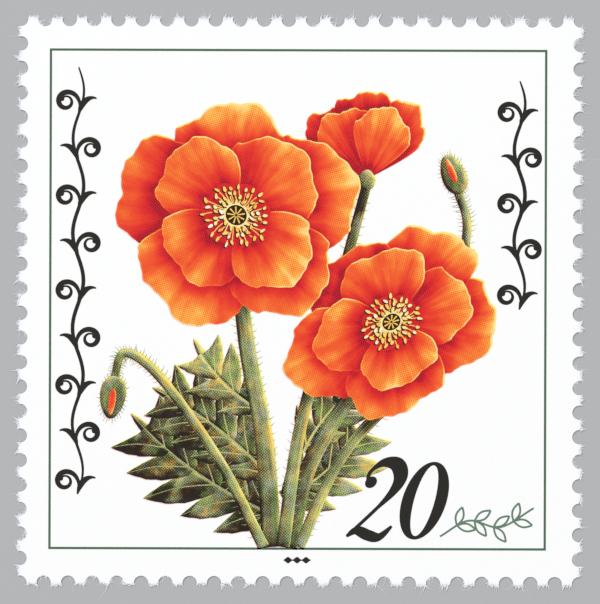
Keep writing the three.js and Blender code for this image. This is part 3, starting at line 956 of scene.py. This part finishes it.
def offset_print_group():
    """Prints shares of cyan, magenta and yellow and of black as screened dots. Cover is how much
    of them the plates laid down."""
    tree = bpy.data.node_groups.new("offset print", "ShaderNodeTree")
    for name, kind in (("Inks", "Color"), ("Black", "Float"), ("Cover", "Float")):
        socket = tree.interface.new_socket(name, in_out="INPUT", socket_type="NodeSocket" + kind)
    socket.default_value = 1.0
    tree.interface.new_socket("Color", in_out="OUTPUT", socket_type="NodeSocketColor")
    inks, black, cover, _ = map(Value, tree.nodes.new("NodeGroupInput").outputs)
    place = place_on(tree)
    mottle = place.noise(9.0, 3.0)
    colour = PAPER_WHITE
    for amount, (ink, angle, contrast) in zip((*inks.then("SeparateColor", [inks]), black), INKS):
        turning = {"Vector": place, "Angle": math.radians(angle)}
        turned = place.then("VectorRotate", turning, rotation_type="Z_AXIS")[0]
        u, v, _ = turned.then("SeparateXYZ", [turned.scaled(2 * np.pi / SCREEN_PITCH)])
        screen = (u.math("COSINE") + v.math("COSINE")) * 0.5
        share = (amount + mottle * (amount * MOTTLE)) * cover
        level = share * (2 + 2 * DOT_SOFTNESS) - (1 + DOT_SOFTNESS)
        dot = (screen + level).step(-DOT_SOFTNESS, DOT_SOFTNESS)
        spread = dot * contrast + share * (1 - contrast)
        colour = spread.mix(colour, ink, "MULTIPLY")
    feed(tree.nodes.new("NodeGroupOutput"), [colour])
    return tree


OFFSET_PRINT = offset_print_group()

# Brightness to ink shares: (brightness, cyan, magenta, yellow, black).
PETAL_INKS = (
    (0.0, 0.42, 1.0, 0.8, 0.36),
    (0.14, 0.34, 0.98, 0.84, 0.14),
    (0.28, 0.26, 0.95, 0.87, 0.03),
    (0.42, 0.19, 0.89, 0.89, 0.0),
    (0.56, 0.12, 0.81, 0.89, 0.0),
    (0.7, 0.05, 0.7, 0.88, 0.0),
    (0.86, 0.0, 0.5, 0.84, 0.0),
    (1.0, 0.0, 0.22, 0.64, 0.0),
)
FOLIAGE_INKS = (
    (0.0, 0.55, 0.6, 0.7, 0.93),
    (0.18, 0.6, 0.42, 0.76, 0.72),
    (0.4, 0.62, 0.32, 0.74, 0.48),
    (0.6, 0.54, 0.24, 0.7, 0.28),
    (0.78, 0.36, 0.16, 0.72, 0.12),
    (0.9, 0.12, 0.12, 0.78, 0.02),
    (1.0, 0.0, 0.06, 0.7, 0.0),
)
THROAT_INKS = (
    (0.0, 0.4, 0.9, 0.7, 0.85),
    (0.5, 0.32, 1.0, 0.82, 0.3),
    (1.0, 0.24, 0.96, 0.87, 0.04),
)
ANTHER_INKS = (
    (0.0, 0.0, 0.52, 0.86, 0.0),
    (0.4, 0.0, 0.3, 0.8, 0.0),
    (0.75, 0.0, 0.13, 0.62, 0.0),
    (1.0, 0.0, 0.06, 0.36, 0.0),
)
# Inks without black: (cyan, magenta, yellow, 1).
BLUISH_GREEN = (0.52, 0.14, 0.4, 1)
GRASS_GREEN = (0.62, 0.02, 0.84, 1)
OLIVE_GREEN = (0.18, 0.38, 0.84, 1)
EYE_INKS = (0.4, 0.75, 0.7, 1)
YELLOW_PLATE = (0, 0, 0.8, 1)
PINK_PLATE = (0, 0.4, 0.1, 1)


def petal_paint(tree):
    """Folds and fine streaks that run out, lighter towards a rim that the light catches."""
    across, out, edge, lit, shade, tone = stored(tree, *PAINTED_BY)
    place, seed = place_on(tree), tone * 37.0
    swerve = across + place.noise(0.5) * 0.175
    folds = vector(swerve * 3.4, out, seed).noise(1.0)
    streaks = vector(swerve * 22.0, out * 2.0, seed).noise(1.0, 3.0)
    wash = place.noise(0.55, 3.0)
    rim = edge.step(0.0, 0.9, (1.0, 0.0)) * lit
    line = edge.step(0.03, 0.12, (1.0, 0.0)) * lit.step(-0.5, 0.7, (0.1, 0.36))
    brightness = out * 0.42 + 0.32 + tone + folds * 0.85 + streaks * 0.2 + wash * 0.65
    return (brightness + rim * 0.12 + line - shade * 0.52).ramp(PETAL_INKS)


def foliage_paint(tree):
    """Streaks and blotches with a lit rim, in greens that drift from bluish to olive."""
    across, out, edge, lit, shade, tone = stored(tree, *PAINTED_BY)
    place = place_on(tree)
    streaks = vector(across * 2.5, out * 5.0, tone).noise(1.0, 3.0)
    blotches = place.noise(0.6, 3.0) * 0.75 + place.noise(3.2) * 0.25
    rim = edge.step(0.0, 0.3, (1.0, 0.0)) * lit
    brightness = tone + 0.55 - across * 0.1 + streaks * 0.5 + blotches + rim * 0.4 - shade * 0.36
    inks, black = brightness.ramp(FOLIAGE_INKS)
    hue = vector(across * 1.5, out * 4.5, tone * 9.0).noise(1.0) + place.noise(0.7) * 0.5
    inks = place.noise(0.9, 3.0).step(-0.05, 0.25, (0.0, 0.75)).mix(inks, BLUISH_GREEN)
    inks = hue.step(-0.02, 0.2, (0.0, 0.85)).mix(inks, GRASS_GREEN)
    return hue.step(-0.22, -0.03, (0.7, 0.0)).mix(inks, OLIVE_GREEN), black


def vein_paint(tree):
    return (stored(tree, "tone")[0] + 0.68 + place_on(tree).noise(2.0) * 0.3).ramp(FOLIAGE_INKS)


def throat_paint(tree):
    """Dark rays that fade outwards."""
    across, out = stored(tree, "across", "out")
    return (out * 0.8 - 0.02 + vector(across * 24.0, out).noise(1.0) * 0.9).ramp(THROAT_INKS)


def anther_paint(tree):
    return (stored(tree, "tone")[0] + place_on(tree).noise(5.0) * 0.5).ramp(ANTHER_INKS)


def eye_paint(tree):
    return EYE_INKS, place_on(tree).noise(4.0) * 0.2 + 0.93


def fringe_paint(inks):
    """Where only one plate printed, out of register."""
    return lambda tree: (inks, 0.0, place_on(tree).noise(3.0) * 0.5 + 1.0)


PAPER_RELIEF = 0.006  # depth of the hills, in millimetres
GUM_RELIEF = 0.04


def uneven(tree, colour, roughness, specular, strength):
    """A dull surface with the fine unevenness of paper."""
    place = place_on(tree)
    height = place.noise(3.5, 3.0) * 0.6 + place.noise(14.0) * 0.4
    return {
        "Base Color": colour,
        "Roughness": roughness,
        "Specular IOR Level": specular,
        "Normal": height.bump(strength, PAPER_RELIEF),
    }


def screened(paint):
    """Dots of ink. `paint` gives the shares of the inks and of black, and may give the cover."""

    def surface(tree):
        colour = add_node(tree, "Group", paint(tree), node_tree=OFFSET_PRINT)[0]
        return uneven(tree, colour, 0.6, 0.2, 0.5)

    return surface


def solid(colour, mottled):
    """Line work, printed solid in an ink of its own."""

    def surface(tree):
        fleck = place_on(tree).noise(11.0, 3.0).step(0.08, 0.4, (0.0, 0.55))
        return uneven(tree, fleck.mix(colour, mottled), 0.6, 0.2, 0.5)

    return surface


def paper_surface(tree):
    """Slightly cloudy, and bluer where it was torn."""
    place = place_on(tree)
    base = (place.noise(1.6, 3.0) + 0.5).mix(PAPER_WHITE, (0.898, 0.9, 0.893, 1))
    torn = stored(tree, "torn")[0] * (place.noise(16.0) + 0.7)
    return uneven(tree, torn.mix(base, (0.8, 0.84, 0.885, 1)), 0.7, 0.25, 0.6)


def fibre_surface(tree):
    share = place_on(tree).noise(5.0) + 0.5
    return {"Base Color": share.mix((0.95, 0.955, 0.96, 1), (0.9, 0.92, 0.95, 1)), "Roughness": 0.8}


def gum_surface(tree):
    """Dried gum, clouded and with fine runs along y."""
    place = place_on(tree)
    x, y, _ = place.then("SeparateXYZ", [place])
    runs = vector(x * 2.6, y * 0.16).noise(1.0, 3.0)
    cloud = (place.noise(0.35, 3.0) + runs * 0.5).step(-0.3, 0.3)
    return {
        "Base Color": cloud.mix((0.82, 0.79, 0.69, 1), (0.72, 0.66, 0.52, 1)),
        "Roughness": place.noise(1.1, 3.0) * 0.3 + 0.3,
        "Normal": (place.noise(0.45) + runs * 0.5 + place.noise(5.0) * 0.12).bump(0.6, GUM_RELIEF),
    }


def floor_surface(tree):
    return {"Base Color": (0.42, 0.425, 0.43, 1), "Roughness": 0.9}


SURFACES = {
    "printed_petal": screened(petal_paint),
    "printed_foliage": screened(foliage_paint),
    "printed_vein": screened(vein_paint),
    "printed_throat": screened(throat_paint),
    "printed_anther": screened(anther_paint),
    "printed_eye": screened(eye_paint),
    "yellow_fringe": screened(fringe_paint(YELLOW_PLATE)),
    "pink_fringe": screened(fringe_paint(PINK_PLATE)),
    "near_black_ink": solid((0.015, 0.014, 0.01, 1), (0.04, 0.038, 0.03, 1)),
    "frame_green_ink": solid((0.065, 0.13, 0.078, 1), (0.15, 0.24, 0.16, 1)),
    "sprig_green_ink": solid((0.12, 0.2, 0.135, 1), (0.2, 0.3, 0.21, 1)),
    "stamp_paper": paper_surface,
    "paper_fibre": fibre_surface,
    "dried_gum": gum_surface,
    "floor": floor_surface,
}


def new_material(name):
    material = bpy.data.materials.new(name)
    material.use_nodes = True
    feed(material.node_tree.nodes["Principled BSDF"], SURFACES[name](material.node_tree))
    return material


MATERIALS = {name: new_material(name) for name in SURFACES}


# ------------ pieces


def add_object(name, data):
    added = bpy.data.objects.new(name, data)
    bpy.context.scene.collection.objects.link(added)
    return added


def lifted(places, height):
    """Places on the sheet as points at a height."""
    return np.stack([places.real, places.imag, np.broadcast_to(height, len(places))], 1)


def belt(count, low, high):
    """The faces between two rings of points that are numbered from low and from high."""
    here = np.arange(count)
    after = (here + 1) % count
    return np.stack([here + low, after + low, after + high, here + high], 1)


def add_piece(name, points, faces, materials):
    """A mesh from points in millimetres, arrays of faces and names of materials."""
    mesh = bpy.data.meshes.new(name)
    mesh.from_pydata((points * MM).tolist(), [], [face for part in faces for face in part.tolist()])
    for material in materials:
        mesh.materials.append(MATERIALS[material])
    return add_object(name, mesh)


def store(layer, key, parts):
    """Fills a layer of a mesh with numbers."""
    numbers = np.concatenate([part.ravel() for part in parts]).astype(np.float32)
    layer.data.foreach_set(key, numbers)


def film(name, corners, triangles, values, inks):
    """A thin closed layer of ink on the paper, from the triangles of its upper face."""
    used, back = np.unique(triangles, return_inverse=True)
    top, count = back.reshape(-1, 3), len(used)
    half_edges = np.concatenate([top[:, [0, 1]], top[:, [1, 2]], top[:, [2, 0]]])
    known = {(a, b) for a, b in half_edges.tolist()}
    rim = np.array([i for i, (a, b) in enumerate(half_edges.tolist()) if (b, a) not in known])
    a, b = half_edges[rim].T
    faces = (top, top[:, ::-1] + count, np.stack([b, a, a + count, b + count], 1))
    places = np.tile(corners[used] + PRINT_CENTRE, 2)
    points = lifted(places, np.repeat([INK_TOP, PAPER_TOP], count))
    worn, slots = np.unique(inks, return_inverse=True)
    piece = add_piece(name, points, faces, worn)
    above, corner = rim % len(top), rim // len(top)  # where on the upper face each wall hangs
    materials = np.concatenate([slots, slots, slots[above]]).astype(np.int32)
    piece.data.polygons.foreach_set("material_index", materials)
    for key, numbers in values.items():
        starts, ends = numbers[above, corner], numbers[above, (corner + 1) % 3]
        layer = piece.data.attributes.new(key, "FLOAT", "CORNER")
        store(layer, "value", [numbers, numbers[:, ::-1], np.stack([ends, starts, starts, ends], 1)])
    add_film_map(piece.data, points[:, :2], faces)
    piece.data.validate()  # because slivers can give a wall twice
    return piece


# A film's map, in shares of the whole: its margin, the sizes of the upper and the lower face, where
# the lower one starts, and how wide the walls are.
MAP_MARGIN = 0.005
UPPER_SIZE = 0.9
LOWER_SIZE = 0.075
LOWER_LEFT = 0.92
MAPPED_WALL = 0.002


def add_film_map(mesh, places, faces):
    """A map that gives the upper face most of the room, with the lower face small beside it. The
    walls lie round the upper face."""
    count = len(places) // 2
    flat = (places - places.min(0)) / np.ptp(places, axis=0).max()
    upper = MAP_MARGIN + flat * UPPER_SIZE
    away = flat[count:] - 0.5
    upper[count:] += MAPPED_WALL * away / np.linalg.norm(away, axis=1)[:, None]
    lower = (LOWER_LEFT, MAP_MARGIN) + flat * LOWER_SIZE
    store(mesh.uv_layers.new(name="OFBake"), "uv", [upper[faces[0]], lower[faces[1]], upper[faces[2]]])


def sheet_piece(name, outline, torn, levels, material):
    """A flat sheet with that outline. Each level is (height, how far its torn points draw in)."""
    count, steps = len(outline), len(levels) - 1
    _, triangles, owner = triangulate([outline], [])
    triangles = triangles[owner == 0]
    points = [
        lifted(outline + inward(outline) * torn * draw * rng.uniform(0.2, 1.0, count), height)
        for height, draw in levels
    ]
    walls = [belt(count, k * count, (k + 1) * count) for k in range(steps)]
    faces = [triangles + steps * count, triangles[:, ::-1], *walls]
    piece = add_piece(name, np.concatenate(points), faces, [material])
    store(piece.data.attributes.new("torn", "FLOAT", "POINT"), "value", [torn] * len(levels))
    return piece


def out_from(outline, roots, length, lean):
    """Places out from those points of an outline, leaning from the straight way out."""
    return outline[roots] + ray(np.angle(-inward(outline)[roots]) + lean, length)


def fibre_ends(outline, roots, least, added, longest, spread):
    """Where fibres with those roots end."""
    length = np.minimum(least + rng.exponential(added, len(roots)), longest)
    return out_from(outline, roots, length, rng.normal(0, spread, len(roots)))


def short_fibres(outline, torn):
    """Where the short fibres start and end: in tufts and singly on the torn edges, and in patches
    in the holes."""
    edge, arc = np.flatnonzero(torn), np.flatnonzero(~torn)

    def beside(roots, reach):
        return (roots + rng.integers(-reach, reach + 1, len(roots))) % len(outline)

    count, least, added, longest, spread = TUFTS
    tuft = np.repeat(rng.choice(edge, count), TUFT_FIBRES)
    lean = np.repeat(rng.normal(0, spread, count), TUFT_FIBRES)
    length = np.repeat(least + rng.exponential(added, count), TUFT_FIBRES)
    length = np.minimum(length * rng.uniform(0.5, 1.1, len(tuft)), longest)
    tuft_ends = out_from(outline, tuft, length, lean)
    free = rng.choice(edge, FREE_FIBRES[0])
    free_ends = fibre_ends(outline, free, *FREE_FIBRES[1:])
    patch = beside(np.repeat(rng.choice(arc, ROUGH_PATCHES[0]), PATCH_FIBRES), 4)
    patch_ends = fibre_ends(outline, patch, *ROUGH_PATCHES[1:])
    starts = outline[np.concatenate([beside(tuft, 2), free, patch])]
    return starts, np.concatenate([tuft_ends, free_ends, patch_ends])


def wisps(outline, torn):
    """Where the long fibres start and end. Three in four are on torn edges."""
    count, *shape = WISPS
    on_edges = count * 3 // 4
    roots = np.concatenate([
        rng.choice(np.flatnonzero(torn), on_edges),
        rng.choice(np.flatnonzero(~torn), count - on_edges),
    ])
    return outline[roots], fibre_ends(outline, roots, *shape)


def fibres_piece(name, starts, ends, bend, steps):
    """Paper fibres between those places, as fine flat tubes that taper, with a ridge on top.
    `bend` is how far they turn, in radians, as a spread."""
    count, length = len(starts), abs(ends - starts) + FIBRE_ROOT
    turn = rng.normal(0, bend, count)
    heading = np.angle(ends - starts) - turn / 2
    place = starts - ray(heading, FIBRE_ROOT)
    low, high = FIBRE_HEIGHTS
    height = rng.uniform(low, high, count)
    last_height = rng.uniform(low - FIBRE_DRIFT, high + FIBRE_DRIFT, count)
    half_width = rng.uniform(*FIBRE_HALF_WIDTHS, count)
    rings = []
    for k in range(steps + 1):
        s = k / steps
        half = half_width * (1 - FIBRE_TAPER * s)
        for across, up in FIBRE_SECTION:
            around = place + 1j * ray(heading + turn * s) * half * across
            rings.append(lifted(around, height + (last_height - height) * s + half * up))
        place = place + ray(heading + turn * (s + 0.5 / steps), length / steps)
    points = np.stack(rings, 1).reshape(-1, 3)
    first = len(rings) * np.arange(count)[:, None]
    faces = [
        first + 3 * k + np.array([side, (side + 1) % 3, (side + 1) % 3 + 3, side + 3])
        for k in range(steps)
        for side in range(3)
    ]
    faces += [first + np.array([2, 1, 0]), first + 3 * steps + np.arange(3)]
    piece = add_piece(name, points, faces, ["paper_fibre"])
    places = points[:, :2]
    flat = (places - places.min(0)) / np.ptp(places, axis=0)
    store(piece.data.uv_layers.new(name="OFBake"), "uv", [flat[part] for part in faces])
    return piece


def stand_for(piece, node):
    """A piece stands in for a CAD node: it hangs from the root body, and the node is hidden."""
    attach(piece, "root")
    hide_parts(node)


def print_films(areas):
    """The films of ink, each in the place of the CAD film of the same name."""
    corners, triangles, owner = triangulate([area.outline for area in areas], shading_points(areas))
    inks = np.array([area.material for area in areas])[owner]
    kept = (owner >= 0) & (inks != "bare")
    triangles, owner, inks = triangles[kept], owner[kept], inks[kept]
    values = paint_values(areas, corners, triangles, owner)
    nodes = np.array([area.node for area in areas])[owner]
    centres = corners[triangles].mean(1) + PRINT_CENTRE
    for stretch in ("cup_stem", "bud_stem"):  # of stems that show again above the right bloom
        box = np.array([complex(*corner.xy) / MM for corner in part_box(stretch)])
        nodes[near(centres, box, 0.5) & (nodes == "stems_and_leaves")] = stretch
    for node in sorted(set(nodes.tolist())):
        rows = nodes == node
        shown = {key: numbers[rows] for key, numbers in values.items()}
        stand_for(film("printed_" + node, corners, triangles[rows], shown, inks[rows]), node)


def build_stamp():
    for areas in (picture(), frame_line()):
        print_films(areas)
    outline, torn = perforated_outline()
    for name, levels, material, node in (
        ("stamp_sheet", PAPER_LEVELS, "stamp_paper", "paper"),
        ("gum_film", GUM_LEVELS, "dried_gum", "gum"),
    ):
        stand_for(sheet_piece(name, outline, torn, levels, material), node)
    stand_for(fibres_piece("torn_fibres", *short_fibres(outline, torn), 0.5, 2), "paper")
    stand_for(fibres_piece("loose_fibres", *wisps(outline, torn), 1.0, 9), "paper")


# ------------ floor, light and camera


def add_floor():
    """A round floor, flat around the stamp, that sweeps up towards its rim as a low backdrop."""
    radii = FLOOR_RADIUS * shares(FLOOR_RINGS + 1)[1:]
    rise = SWEEP_HEIGHT * np.maximum(0, (radii - FLAT_RADIUS) / (FLOOR_RADIUS - FLAT_RADIUS)) ** 2
    rings = [lifted(disc(0, radius, FLOOR_STEPS), height) for radius, height in zip(radii, rise)]
    points = np.concatenate([np.zeros((1, 3)), *rings]) - (0, 0, FLOOR_DROP)
    firsts = 1 + FLOOR_STEPS * np.arange(FLOOR_RINGS)
    faces = [belt(FLOOR_STEPS, outer, inner) for inner, outer in zip(firsts, firsts[1:])]
    faces.append(np.insert(belt(FLOOR_STEPS, 1, 1)[:, :2], 0, 0, axis=1))
    floor = add_piece("floor", points, faces, ["floor"])
    floor.data.shade_smooth()


def add_light(name, place, size, power):
    light = bpy.data.lights.new(name, "AREA")
    light.size = size
    light.energy = power
    lamp = add_object(name, light)
    lamp.location = place
    lamp.rotation_euler = Vector(place).to_track_quat("Z", "Y").to_euler()


def add_camera():
    """Straight above the stamp."""
    lens = bpy.data.cameras.new("camera")
    lens.lens = LENS
    lens.sensor_fit = "VERTICAL"
    lens.sensor_height = SENSOR
    lens.clip_start = NEAREST
    lens.clip_end = FURTHEST
    camera = add_object("camera", lens)
    distance = VIEW_HEIGHT * LENS / SENSOR
    camera.location = Vector((VIEW_CENTRE.real, VIEW_CENTRE.imag, PAPER_TOP + distance)) * MM
    camera.rotation_euler = (0, 0, math.radians(VIEW_ROLL))
    bpy.context.scene.camera = camera


def add_sky():
    world = bpy.data.worlds.new("world")
    world.use_nodes = True
    feed(world.node_tree.nodes["Background"], SKY)
    bpy.context.scene.world = world


def keep_dots():
    """Shows the colours as they are, and keeps the screens' dots, which denoising would smear."""
    bpy.context.scene.view_settings.view_transform = "Standard"
    bpy.context.scene.cycles.use_denoising = False


build_stamp()
add_floor()
for light in LIGHTS:
    add_light(*light)
add_camera()
add_sky()
keep_dots()
